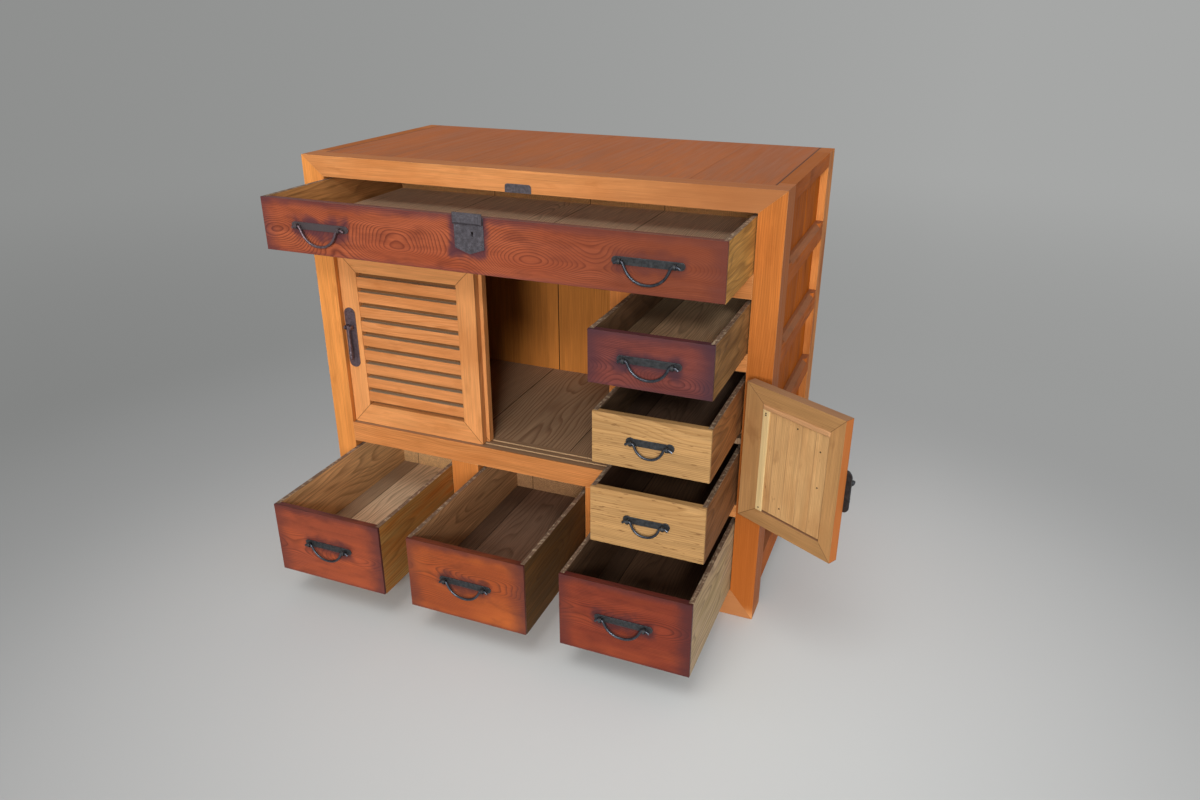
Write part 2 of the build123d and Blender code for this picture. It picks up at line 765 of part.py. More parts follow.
def sliding_doors():
    """Front door with its drop pull, and rear door with a flush finger cup."""
    frame = sliding_door("front_sliding_door", front_door_x, front_door_y)
    save("front_sliding_door_frame", *frame)
    middle_z = (sliding_z0 + sliding_z1) / 2
    sizes = (long_drop_plate_width, long_drop_plate_height, long_drop_above)
    pivot_z = middle_z + long_drop_rise + long_drop_above
    pull_x = front_door_x + long_drop_inset
    save("front_sliding_door_pull", Pos(pull_x, front_door_y, pivot_z) * drop_pull_plate(*sizes))
    place = Pos(pull_x, front_door_y - drop_stand, pivot_z)
    save("front_sliding_door_drop", place * drop(long_drop_length))

    frame = sliding_door("rear_sliding_door", rear_door_x, rear_door_y)
    place = Pos(rear_door_x + sliding_stile / 2, rear_door_y, middle_z)
    turned = Rot(0, 0, 90)
    slot = turned * SlotOverall(cup_height, cup_width)
    hollow = turned * SlotOverall(cup_height - 2 * cup_wall, cup_width - 2 * cup_wall)
    room = turned * SlotOverall(cup_height + 2 * cup_clearance, cup_width + 2 * cup_clearance)
    sunk = Pos(0, cup_depth, 0)
    frame[0] -= place * sunk * plate(room, cup_depth)
    cup = sunk * plate(slot, cup_depth) - Pos(0, cup_depth - cup_wall, 0) * plate(hollow, cup_depth)
    save("rear_sliding_door_frame", *frame)
    save("rear_sliding_door_cup", place * cup)


# ---------------------------------------------------------------- hinged door
def opened(shape):
    """Turns a piece of the closed hinged door to its open place."""
    axis = Pos(hinge_x, hinge_y, 0)
    return axis * Rot(0, 0, hinged_open_angle) * Pos(-hinge_x, -hinge_y, 0) * shape


def panel_boards(x0, x1, y0, z0, z1):
    """Upright boards of the door's panel, raised in the middle on the inside."""
    y1 = y0 + panel_thickness
    field_x0, field_x1 = x0 + panel_margin, x1 - panel_margin
    field = slab(field_x0, field_x1, y1, y1 + panel_field, z0 + panel_margin, z1 - panel_margin)
    field = chamfer(field.faces().sort_by(Axis.Y)[-1].edges(), panel_chamfer)
    panel = slab(x0, x1, y0, y1, z0, z1) + field
    width = (x1 - x0) / panel_board_count
    for n in range(1, panel_board_count):
        x = x0 + n * width
        panel -= slab(x - panel_joint / 2, x + panel_joint / 2, y0, y1 + panel_field, z0, z1)
    return panel.solids()


def hinged_door():
    """Mitred frame, panel of upright boards and a short drop pull, all open."""
    x0, x1, z0, z1 = hinged_x0, hinged_x1, hinged_z0, hinged_z1
    sizes = (free_side_stile, hinge_side_stile, hinged_rail, hinged_rail)
    frame = mitred_frame(x0, x1, front, front + hinged_thickness, z0, z1, *sizes)
    save("hinged_door_frame", *[opened(piece) for piece in frame])
    ix0, ix1 = x0 + free_side_stile, x1 - hinge_side_stile
    iz0, iz1 = z0 + hinged_rail, z1 - hinged_rail
    panel = panel_boards(ix0, ix1, front + panel_recess, iz0, iz1)
    save("hinged_door_panel", *[opened(board) for board in panel])
    middle_z = (z0 + z1) / 2
    pull_x = x0 + short_drop_plate_width / 2 - short_drop_overhang
    pivot_z = middle_z + short_drop_above
    sizes = (short_drop_plate_width, short_drop_plate_height, short_drop_above)
    save("hinged_door_pull", opened(Pos(pull_x, front, pivot_z) * drop_pull_plate(*sizes)))
    place = Pos(pull_x, front - drop_stand, pivot_z)
    save("hinged_door_drop", opened(place * drop(short_drop_length)))


def knuckle(z0, z1):
    """One barrel of a hinge, on the hinge's axis."""
    return Pos(hinge_x, hinge_y, (z0 + z1) / 2) * Cylinder(knuckle_radius, z1 - z0)


def leaf_neck(z0, z1):
    """Bent neck that joins the door's leaf to its knuckle."""
    leaf_y = front - leaf_thickness
    neck = knuckle_radius - leaf_thickness / 2
    points = [
        (hinged_x1 - leaf_thickness, front),
        (hinged_x1, front),
        (hinge_x, hinge_y + neck),
        (hinge_x, hinge_y),
        (hinged_x1 - leaf_thickness, leaf_y),
    ]
    outline = make_face(Polyline(*[(x, y, z0) for x, y in points], close=True))
    return extrude(outline, amount=z1 - z0, dir=(0, 0, 1))


def hinges():
    """Two surface hinges: leaf, outer knuckles and pin on the stile, middle knuckle on the door."""
    fixed = []
    moving = []
    third = hinge_height / 3
    leaf_y = front - leaf_thickness
    for level in hinge_levels:
        z0, z1 = level - hinge_height / 2, level + hinge_height / 2
        low, high = z0 + third, z1 - third
        body = slab(hinge_x, hinge_x + leaf_width, leaf_y, front, z0, z1)
        for a, b in ((z0, low), (high, z1)):
            body += knuckle(a, b)
            body += slab(hinge_x, hinge_x + knuckle_radius, hinge_y, front, a, b)
        body += Pos(hinge_x, hinge_y, level) * Cylinder(hinge_pin_radius, hinge_height - knuckle_radius)
        fixed.append(body)
        low, high = low + knuckle_gap, high - knuckle_gap
        body = knuckle(low, high)
        body += leaf_neck(low, high)
        body += slab(hinged_x1 - leaf_width, hinged_x1, leaf_y, front, z0, z1)
        bore = hinge_pin_radius + hinge_pin_clearance
        body -= Pos(hinge_x, hinge_y, level) * Cylinder(bore, hinge_height)
        moving.append(opened(body))
    save("case_hinge_leaves", *fixed)
    save("door_hinge_leaves", *moving)


front_frame()
door_rails()
small_rail()
front_posts()
side_frames()
rear_frame()
case_boards()
dust_boards()
column_partition()
drawer_guides()
all_drawers()
lock()
strike_plate()
sliding_doors()
hinged_door()
hinges()
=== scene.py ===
import math

import bmesh
import bpy
from mathutils import Euler, Matrix, Vector


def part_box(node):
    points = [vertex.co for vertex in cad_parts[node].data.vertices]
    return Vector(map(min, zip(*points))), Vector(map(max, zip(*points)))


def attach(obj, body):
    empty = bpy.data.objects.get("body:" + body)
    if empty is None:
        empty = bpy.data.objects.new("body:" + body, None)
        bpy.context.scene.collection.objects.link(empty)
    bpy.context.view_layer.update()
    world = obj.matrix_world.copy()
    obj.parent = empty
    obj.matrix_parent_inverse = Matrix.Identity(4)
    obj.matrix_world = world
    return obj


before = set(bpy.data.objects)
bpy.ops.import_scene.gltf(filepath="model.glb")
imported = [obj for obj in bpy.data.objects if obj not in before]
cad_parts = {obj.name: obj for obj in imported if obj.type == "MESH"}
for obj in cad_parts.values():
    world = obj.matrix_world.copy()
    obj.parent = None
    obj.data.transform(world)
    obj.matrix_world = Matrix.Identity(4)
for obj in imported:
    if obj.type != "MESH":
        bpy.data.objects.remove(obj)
bpy.context.view_layer.update()


# ---------------------------------------------------------------- front frame
# The face of the chest is a mitred frame of close-grained softwood, planed and then rubbed with
# oil for a century. The grain runs along each member, the arrises have worn pale, and dirt has
# settled in long soft streaks.
def mm(length):
    """Millimetres as metres."""
    return length / 1000


def linear(code):
    """An sRGB hex code as linear colour with full alpha."""
    parts = [int(code[n:n + 2], 16) / 255 for n in (1, 3, 5)]
    return [c / 12.92 if c <= 0.04045 else ((c + 0.055) / 1.055) ** 2.4 for c in parts] + [1.0]


def add(tree, kind, inputs=(), give=0, stops=(), **settings):
    """Adds a node; inputs are values or sockets by place or name, and the result is one output."""
    node = tree.nodes.new(kind)
    for name, value in settings.items():
        setattr(node, name, value)
    pairs = inputs.items() if isinstance(inputs, dict) else enumerate(inputs)
    for key, value in pairs:
        if isinstance(value, bpy.types.NodeSocket):
            tree.links.new(value, node.inputs[key])
        else:
            node.inputs[key].default_value = value
    if stops:
        ramp = node.color_ramp.elements
        while len(ramp) < len(stops):
            ramp.new(0.5)
        for element, (place, tone) in zip(ramp, stops):
            element.position = place
            element.color = (tone, tone, tone, 1)
    return node.outputs[give]


def new_finish(name):
    """A new material, with its node tree and its shader."""
    material = bpy.data.materials.new(name)
    material.use_nodes = True
    return material, material.node_tree, material.node_tree.nodes["Principled BSDF"]


def lay_over(material, mask, code):
    """Mixes one more colour over a finish, as far as the mask goes."""
    tree = material.node_tree
    base = tree.nodes["Principled BSDF"].inputs["Base Color"]
    over = {0: mask, 6: base.links[0].from_socket, 7: linear(code)}
    tree.links.new(add(tree, "ShaderNodeMix", over, give=2, data_type="RGBA"), base)


def grain_space(tree, centre, along, joints, mitre, turned):
    """Coordinates with the third axis along the grain, the number of the board, and the mitre lines."""
    place = add(tree, "ShaderNodeTexCoord", give="Object")
    if turned:
        pivot, angle = turned
        back = Matrix.Rotation(-angle, 3, "Z")
        moved = {"Vector": place, "Location": pivot - back @ pivot, "Rotation": (0, 0, -angle)}
        place = add(tree, "ShaderNodeMapping", moved)
    axes = add(tree, "ShaderNodeSeparateXYZ", [place]).node.outputs
    inner = add(tree, "ShaderNodeMapping", {"Vector": place, "Location": -centre})
    inner = add(tree, "ShaderNodeSeparateXYZ", [inner]).node.outputs
    order = {"X": (1, 2, 0), "Y": (0, 2, 1), "Z": (0, 1, 2)}
    grain = add(tree, "ShaderNodeCombineXYZ", [inner[n] for n in order[along]])
    board, line = 0.0, None
    for axis, joint in joints:
        past = [axes["XYZ".index(axis)], mm(joint)]
        past = add(tree, "ShaderNodeMath", past, operation="GREATER_THAN")
        board = add(tree, "ShaderNodeMath", [board, past], operation="ADD")
    if mitre:
        # how far in from each edge of the frame, as a share of that member's width; a rail starts
        # where its share is less than the stile's, and the mitre runs where the two are equal
        x0, x1, z0, z1, left, right, low, high = [mm(size) for size in mitre]
        line_edge, line_core = 0.03, 0.012
        shares = []
        for axis, start, end in (("X", x0, x0 + left), ("X", x1, x1 - right),
                                 ("Z", z0, z0 + low), ("Z", z1, z1 - high)):
            reach = {"Value": axes["XYZ".index(axis)], "From Min": start, "From Max": end}
            shares.append(add(tree, "ShaderNodeMapRange", reach, clamp=False))
        side = add(tree, "ShaderNodeMath", shares[:2], operation="MINIMUM")
        level = add(tree, "ShaderNodeMath", shares[2:], operation="MINIMUM")
        rail = add(tree, "ShaderNodeMath", [level, side], operation="LESS_THAN")
        across = add(tree, "ShaderNodeCombineXYZ", [inner[n] for n in order["X"]])
        grain = add(tree, "ShaderNodeMix", {0: rail, 4: grain, 5: across}, give=1, data_type="VECTOR")
        board = add(tree, "ShaderNodeMath", [board, rail], operation="ADD")
        line = add(tree, "ShaderNodeMath", [side, level], operation="SUBTRACT")
        line = add(tree, "ShaderNodeMath", [line], operation="ABSOLUTE")
        line = {"Value": line, "From Min": line_edge, "From Max": line_core, "To Max": 0.7}
        line = add(tree, "ShaderNodeMapRange", line)
    if joints or mitre:
        next_board = (0.02, 0.013, 0.43)
        shift = add(tree, "ShaderNodeVectorMath", {0: next_board, "Scale": board}, operation="SCALE")
        grain = add(tree, "ShaderNodeVectorMath", [grain, shift], operation="ADD")
    return place, grain, board, line


def drawn_noise(tree, grain, size, shrink, detail, give=0):
    """Noise of a size in mm, drawn out along the grain because that coordinate is shrunk."""
    drawn = add(tree, "ShaderNodeVectorMath", [grain, (1, 1, shrink)], operation="MULTIPLY")
    drawn = {"Vector": drawn, "Scale": 1 / mm(size), "Detail": detail}
    return add(tree, "ShaderNodeTexNoise", drawn, give=give)


def growth_rings(tree, grain, cut, ring, heart, lean, sway, wave):
    """Rings about a leaning heart line: 0 in the pale wood, 1 towards the end of each ring."""
    # the tree's own waver is slow along the grain; noise keeps near its middle, so it is stretched
    stretch = 2.6
    waver = drawn_noise(tree, grain, size=60, shrink=0.22, detail=1.0, give="Color")
    waver = add(tree, "ShaderNodeVectorMath", [waver, (0.5, 0.5, 0.5)], operation="SUBTRACT")
    reach = (mm(stretch * sway[0]), mm(stretch * sway[1]), 0)
    bent = add(tree, "ShaderNodeVectorMath", [waver, reach, grain], operation="MULTIPLY_ADD")
    if wave:
        rise, length, crest = wave
        turns = 2 * math.pi / mm(length)
        start = -turns * (mm(crest) + cut.z)
        run = add(tree, "ShaderNodeSeparateXYZ", [grain], give="Z")
        run = add(tree, "ShaderNodeMath", [run, turns, start], operation="MULTIPLY_ADD")
        run = add(tree, "ShaderNodeMath", [run], operation="COSINE")
        run = add(tree, "ShaderNodeMath", [run, mm(rise)], operation="MULTIPLY")
        run = add(tree, "ShaderNodeCombineXYZ", [run])
        bent = add(tree, "ShaderNodeVectorMath", [bent, run], operation="ADD")
    tilt = Euler([math.radians(angle) for angle in (*lean, 0)])
    away = tilt.to_matrix() @ cut + Vector((mm(heart[0]), mm(heart[1]), 0))
    around = add(tree, "ShaderNodeMapping", {"Vector": bent, "Location": -away, "Rotation": tilt})
    around = add(tree, "ShaderNodeVectorMath", [around, (1, 1, 0)], operation="MULTIPLY")
    depth = add(tree, "ShaderNodeVectorMath", [around], give="Value", operation="LENGTH")
    depth = add(tree, "ShaderNodeMath", [depth, mm(ring)], operation="DIVIDE")
    depth = add(tree, "ShaderNodeMath", [depth], operation="FRACT")
    year = ((0.0, 0.0), (0.5, 0.16), (0.86, 1.0), (1.0, 0.0))
    rings = add(tree, "ShaderNodeValToRGB", [depth], stops=year)
    rings.node.name = "growth_rings"
    return rings


def arris(tree, rounded, start, full, strength):
    """Mask of the arrises, where the rounded normal turns away from the face's own."""
    face = add(tree, "ShaderNodeNewGeometry", give="True Normal")
    along = add(tree, "ShaderNodeVectorMath", [rounded, face], give="Value", operation="DOT_PRODUCT")
    along = {"Value": along, "From Min": start, "From Max": full, "To Max": strength}
    return add(tree, "ShaderNodeMapRange", along)


# nearly all of a noise's values lie in this span
noise_span = {"From Min": 0.3, "From Max": 0.7}


def timber(name, node, early, late, along="Z", ring=2.0, heart=(48, 30), lean=(0.8, 0.6), sway=(6, 6),
           wave=None, figure=0.5, streak=1.0, patches=(), worn=None, wear=0.5, joints=(), mitre=None,
           turned=None, rough=0.5, gloss=0.12, seed=0):
    """Planed wood of one node.

    early and late are a ring's pale and dark colour, and figure is how strongly the rings show.
    The rings are ring mm wide about a heart line heart mm from the node's middle, which leans by
    lean degrees and sways by sway mm; wave bends it in long arches, by their rise, length and
    crest in mm. streak is the fibres' strength. patches are colour, size in mm, where in the noise
    they start and are full, and strength. joints are the boards' edges in mm along an axis, and
    mitre is a frame's outline and its members' widths. turned is the hinge and the angle of a door.
    """
    material, tree, shader = new_finish(name)
    shader.inputs["Specular IOR Level"].default_value = gloss
    low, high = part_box(node)
    place, grain, board, line = grain_space(tree, (low + high) / 2, along, joints, mitre, turned)
    cut = Vector([seed * step for step in (0.11, 0.07, 0.53)])
    grain = add(tree, "ShaderNodeVectorMath", [grain, cut], operation="ADD")
    rings = growth_rings(tree, grain, cut, ring, heart, lean, sway, wave)

    # fibres about a millimetre apart and several centimetres long, as fine as shows, and bands
    fibres = drawn_noise(tree, grain, size=1.3, shrink=0.022, detail=3.0)
    bands = drawn_noise(tree, grain, size=9, shrink=0.05, detail=2.0)

    amount = add(tree, "ShaderNodeMath", [rings, figure], operation="MULTIPLY")
    ringed = {0: amount, 6: linear(early), 7: linear(late)}
    ringed = add(tree, "ShaderNodeMix", ringed, give=2, data_type="RGBA")
    tone = {"Value": fibres, **noise_span, "To Min": 1 - 0.16 * streak, "To Max": 1 + 0.12 * streak}
    tone = add(tree, "ShaderNodeMapRange", tone)
    band = {"Value": bands, **noise_span, "To Min": 1 - 0.12 * streak, "To Max": 1 + 0.1 * streak}
    tone = add(tree, "ShaderNodeMath", [tone, add(tree, "ShaderNodeMapRange", band)], operation="MULTIPLY")
    if joints or mitre:
        # each board is a little paler or darker than the next
        pick = add(tree, "ShaderNodeMath", [board, 3.7 + seed], operation="ADD")
        pick = add(tree, "ShaderNodeTexWhiteNoise", {"W": pick}, noise_dimensions="1D")
        pick = add(tree, "ShaderNodeMapRange", {"Value": pick, "To Min": 0.92, "To Max": 1.06})
        tone = add(tree, "ShaderNodeMath", [tone, pick], operation="MULTIPLY")
    toned = add(tree, "ShaderNodeVectorMath", {0: ringed, "Scale": tone}, operation="SCALE")
    tree.links.new(toned, shader.inputs["Base Color"])

    for code, size, first, full, strength in patches:
        cloud = drawn_noise(tree, grain, size, shrink=0.4, detail=4.0)
        cloud = {"Value": cloud, "From Min": first, "From Max": full, "To Max": strength}
        lay_over(material, add(tree, "ShaderNodeMapRange", cloud), code)
    if line:
        lay_over(material, line, "#4A2A16")

    # hands and cloths have rubbed the arrises round and unevenly pale or dark
    arris_radius, rub_size = 1.1, 14
    rounded = add(tree, "ShaderNodeBevel", {"Radius": mm(arris_radius)}, samples=4)
    if worn:
        rub = add(tree, "ShaderNodeTexNoise", {"Vector": place, "Scale": 1 / mm(rub_size), "Detail": 4.0})
        rub = {"Value": rub, "From Min": 0.35, "From Max": 0.6, "To Min": 0.35}
        rub = [arris(tree, rounded, 0.995, 0.86, wear), add(tree, "ShaderNodeMapRange", rub)]
        lay_over(material, add(tree, "ShaderNodeMath", rub, operation="MULTIPLY"), worn)

    height = add(tree, "ShaderNodeMath", [rings, 0.5, fibres], operation="MULTIPLY_ADD")
    relief = {"Strength": 0.35, "Distance": mm(0.35), "Height": height, "Normal": rounded}
    tree.links.new(add(tree, "ShaderNodeBump", relief), shader.inputs["Normal"])
    sheen = {"Value": bands, **noise_span, "To Min": rough - 0.08, "To Max": rough + 0.1}
    tree.links.new(add(tree, "ShaderNodeMapRange", sheen), shader.inputs["Roughness"])
    return material


def wash(material, axis, start, end, code, strength=1.0, ragged=0.0, facing=None):
    """Lays a colour on from start to end in mm along an axis, only on one side where facing is given."""
    tree = material.node_tree
    place = add(tree, "ShaderNodeTexCoord").node.outputs
    reach = add(tree, "ShaderNodeSeparateXYZ", [place["Object"]], give="XYZ".index(axis))
    if ragged:
        torn_size = 26
        torn = {"Vector": place["Object"], "Scale": 1 / mm(torn_size), "Detail": 3.0}
        torn = add(tree, "ShaderNodeTexNoise", torn)
        torn = add(tree, "ShaderNodeMath", [torn, 0.5], operation="SUBTRACT")
        reach = add(tree, "ShaderNodeMath", [torn, mm(ragged), reach], operation="MULTIPLY_ADD")
    span = {"Value": reach, "From Min": mm(start), "From Max": mm(end), "To Max": strength}
    mask = add(tree, "ShaderNodeMapRange", span, interpolation_type="SMOOTHSTEP")
    if facing is not None:
        # a face counts when it looks within about 45 degrees of that side
        side = [place["Normal"], facing]
        side = add(tree, "ShaderNodeVectorMath", side, give="Value", operation="DOT_PRODUCT")
        side = add(tree, "ShaderNodeMath", [side, 0.7], operation="GREATER_THAN")
        mask = add(tree, "ShaderNodeMath", [mask, side], operation="MULTIPLY")
    lay_over(material, mask, code)


def dress(material, *nodes):
    """Gives CAD nodes their finish."""
    for name in nodes:
        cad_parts[name].material_slots[0].material = material


up, forward, leftward, rightward = (0, 0, 1), (0, -1, 0), (-1, 0, 0), (1, 0, 0)
case_side, case_top, side_fade = 455, 800, 16
top_face = ("Z", case_top - 3, case_top - 1)
frame_pale, frame_ring, frame_worn = "#D8945A", "#B4692F", "#E8C08A"
streaks = (("#B0662E", 70, 0.5, 0.7, 0.45), ("#96531F", 26, 0.6, 0.75, 0.35))
left_stile = timber("oiled_left_stile", "front_stile_left", "#DA8E48", "#BC6C30", patches=streaks,
                    worn=frame_worn, seed=1)
wash(left_stile, "Z", 420, 60, "#BC7636", 0.5, ragged=60)
wash(left_stile, "X", side_fade - case_side, -case_side, "#9C5420", 0.65, facing=leftward)
right_stile = timber("oiled_right_stile", "front_stile_right", "#BA6E30", "#9E541E", patches=streaks[1:],
                     worn=frame_worn, seed=2)
wash(right_stile, "Z", 640, 380, "#984E18", 0.7, ragged=60)
wash(right_stile, "Z", 30, 2, "#E0A46A", 0.6, ragged=20)
wash(right_stile, "X", case_side - side_fade, case_side, "#9C5420", 0.65, facing=rightward)
front_rails = timber("oiled_front_rails", "front_rails", frame_pale, frame_ring, along="X", heart=(40, 46),
                     joints=(("Z", case_top / 2),), patches=streaks, worn=frame_worn, seed=3)
wash(front_rails, "X", -60, 420, "#9C633A", 0.8, ragged=120)
for piece in (left_stile, right_stile, front_rails):
    wash(piece, *top_face, "#AA6434", 0.75, facing=up)
dress(left_stile, "front_stile_left")
dress(right_stile, "front_stile_right")
dress(front_rails, "front_rails")


# ---------------------------------------------------------------- rails and posts of the front
# Rails and posts that divide the front are the same oiled softwood. The sill of the sliding
# doors has two grooves, grey with dust, and the doors have polished the walls of its ridges pale.
behind_face = ("Y", -17.5, -15.5)
for rail, seed in (("middle_rail", 4), ("upper_rail", 5), ("small_rail", 6)):
    wood = timber(f"oiled_{rail}", rail, "#C58048", "#A35E2C", along="X", heart=(40, 46), patches=streaks,
                  worn=frame_worn, seed=seed)
    wash(wood, *behind_face, "#8C755C", 0.85, facing=up)
    wash(wood, *behind_face, "#C0A47E", 0.8, facing=forward)
    dress(wood, rail)
posts = timber("oiled_front_posts", "front_posts", "#C67A3C", "#A35B28", patches=streaks, worn=frame_worn,
               seed=7)
dress(posts, "front_posts")


# ---------------------------------------------------------------- side frames
# Each side is a frame of posts and level rails with upright boards set behind them. Dust lies
# on the chamfer of every rail, and the boards are darker and redder than the front.
side_streaks = (("#8A4416", 60, 0.45, 0.66, 0.6), ("#5E2E12", 26, 0.6, 0.74, 0.5))
side_joint = 230
side_rails = timber("oiled_side_rails", "side_rails", "#B4622A", "#8C4618", along="Y", ring=2.4,
                    patches=side_streaks, worn="#9C7E66", wear=0.5, gloss=0.02, seed=8)
wash(side_rails, "Z", -10, 0, "#7E6450", 0.5, facing=up)
side_boards = timber("oiled_side_boards", "side_boards", "#B45E16", "#8E420C", ring=2.8, figure=0.6,
                     patches=side_streaks, joints=(("Y", side_joint),), worn="#5A3420", gloss=0.02, seed=9)
rear_frame = timber("oiled_rear_frame", "rear_frame", "#D28848", "#A65C2C", ring=2.4,
                    patches=side_streaks[:1], worn="#D8A47A", gloss=0.05, seed=10)
for piece in (side_rails, rear_frame):
    wash(piece, *top_face, "#A8602E", 0.8, facing=up)
dress(side_rails, "side_rails")
dress(side_boards, "side_boards")
dress(rear_frame, "rear_frame")


# ---------------------------------------------------------------- top
# Six boards run from front to back, butted so tightly that the joints barely show. The top has
# gone reddish brown, with dull patches where things stood.
def seam(material, at, half, code):
    """Darkens a joint beside a board, at mm across the chest and half mm to each side."""
    tree = material.node_tree
    across = add(tree, "ShaderNodeSeparateXYZ", [add(tree, "ShaderNodeTexCoord", give="Object")])
    across = add(tree, "ShaderNodeMath", [across, mm(at)], operation="SUBTRACT")
    across = add(tree, "ShaderNodeMath", [across], operation="ABSOLUTE")
    span = {"Value": across, "From Min": mm(half), "From Max": mm(half * 0.4), "To Max": 0.85}
    lay_over(material, add(tree, "ShaderNodeMapRange", span), code)


inner_side, top_board_count, top_end = 429, 6, 427.5
top_joints = [("X", -inner_side + 2 * inner_side * n / top_board_count) for n in range(1, top_board_count)]
top_patches = (("#8E5230", 110, 0.45, 0.68, 0.45), ("#7A3E22", 8, 0.66, 0.76, 0.5))
top = timber("oiled_top_boards", "top_boards", "#B0622C", "#8A4418", along="Y", ring=2.4, heart=(30, 44),
             figure=0.3, joints=top_joints, patches=top_patches, worn="#7A4426", wear=0.45, rough=0.45,
             seed=11)
wash(top, "Y", 0, 436, "#A85A2A", 0.5, ragged=80)
for joint in (-top_end, top_end):
    seam(top, joint, 1.8, "#3E2214")
dress(top, "top_boards")


# ---------------------------------------------------------------- inside the case
# Back, floors and guides were never finished, only planed. The back boards have gone golden and
# the floors grey-brown, with broad cathedral figure.
back_joints = [across - inner_side for across in (299, 590)]
back = timber("bare_back_boards", "back_boards", "#B47030", "#8A4E1C", ring=2.2, heart=(30, 60), figure=0.6,
              joints=[("X", joint) for joint in back_joints], worn="#2E1A10", wear=0.9, rough=0.62, seed=12)
for joint in back_joints:
    seam(back, joint, 1.6, "#24150C")
floor_joints = [across - inner_side for across in (76, 284, 492)]
dust = timber("bare_dust_boards", "dust_boards", "#A58566", "#6C4430", along="Y", ring=4.4, heart=(4, 10),
              lean=(0.6, 0.4), sway=(9, 14), figure=0.6, joints=[("X", joint) for joint in floor_joints],
              worn="#3A2618", wear=0.8, rough=0.7, seed=13)
for joint in floor_joints:
    seam(dust, joint, 1.3, "#2A1A10")
partition = timber("bare_partition", "column_partition", "#9A6636", "#75481F", ring=3.0, rough=0.65,
                   worn="#5E3A20", seed=14)
guides = timber("bare_guides", "drawer_guides", "#8A6240", "#634224", along="Y", ring=3.0, rough=0.7,
                worn="#4A3020", seed=15)
dress(back, "back_boards")
dress(dust, "dust_boards")
dress(partition, "column_partition")
dress(guides, "drawer_guides")


# ---------------------------------------------------------------- red drawer fronts
# Wide-figured hardwood under a red lacquer wiped thin. It has darkened to purple along the edges
# and round the iron, and in patches it has worn thinner and more orange.
def halo(material, centre, half_width, half_height, reach, strength, code):
    """Lays a colour on a front round an upright rectangle, fading over its reach, unevenly: a stain round
    the iron, and painted shade in the keyhole.
    """
    tree = material.node_tree
    place = add(tree, "ShaderNodeTexCoord", give="Object")
    offset = add(tree, "ShaderNodeVectorMath", [place, centre], operation="SUBTRACT")
    offset = add(tree, "ShaderNodeVectorMath", [offset, (1, 0, 1)], operation="MULTIPLY")
    offset = add(tree, "ShaderNodeVectorMath", [offset], operation="ABSOLUTE")
    beyond = add(tree, "ShaderNodeVectorMath", [offset, (half_width, 0, half_height)], operation="SUBTRACT")
    beyond = add(tree, "ShaderNodeVectorMath", [beyond, (0, 0, 0)], operation="MAXIMUM")
    distance = add(tree, "ShaderNodeVectorMath", [beyond], give="Value", operation="LENGTH")
    cloud_size = 28
    uneven = add(tree, "ShaderNodeTexNoise", {"Vector": place, "Scale": 1 / mm(cloud_size), "Detail": 3.0})
    uneven = {"Value": uneven, **noise_span, "To Min": -0.45, "To Max": 0.45}
    uneven = add(tree, "ShaderNodeMapRange", uneven)
    distance = add(tree, "ShaderNodeMath", [uneven, reach, distance], operation="MULTIPLY_ADD")
    fade = {"Value": distance, "From Max": reach, "To Min": strength, "To Max": 0.0}
    lay_over(material, add(tree, "ShaderNodeMapRange", fade, interpolation_type="SMOOTHSTEP"), code)


def lacquered(drawer, early, late, low, edge, heart, seed, wave=(9, 260, 50)):
    """The red front of one drawer, dark at its edges and round its pulls."""
    front = f"{drawer}_front"
    patches = ((low, 70, 0.45, 0.7, 0.6), (late, 20, 0.52, 0.72, 0.5))
    wood = timber(f"lacquered_{front}", front, early, late, along="X", ring=2.3, heart=heart,
                  lean=(0.3, 0.6), sway=(15, 8), wave=wave, figure=0.9, streak=0.8, worn="#97705E",
                  wear=0.6, gloss=0.2, patches=patches, rough=0.38, seed=seed)
    lowest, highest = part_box(front)
    left, right, foot, head = [1000 * value for value in (lowest.x, highest.x, lowest.z, highest.z)]
    wash(wood, "X", left + 34, left, edge, 0.6, ragged=24)
    wash(wood, "X", right - 40, right, edge, 0.8, ragged=30)
    wash(wood, "Z", head - 16, head, edge, 0.65, ragged=16)
    wash(wood, "Z", foot + 8, foot, edge, 0.4, ragged=8)
    for bail in (f"{drawer}_bail", f"{drawer}_bail_right"):
        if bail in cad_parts:
            lowest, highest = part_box(bail)
            width = highest.x - lowest.x
            spot = Vector((lowest.x + width / 2, 0, highest.z - mm(4)))
            halo(wood, spot, 0.44 * width, mm(6), mm(20), 0.85, edge)
    return wood


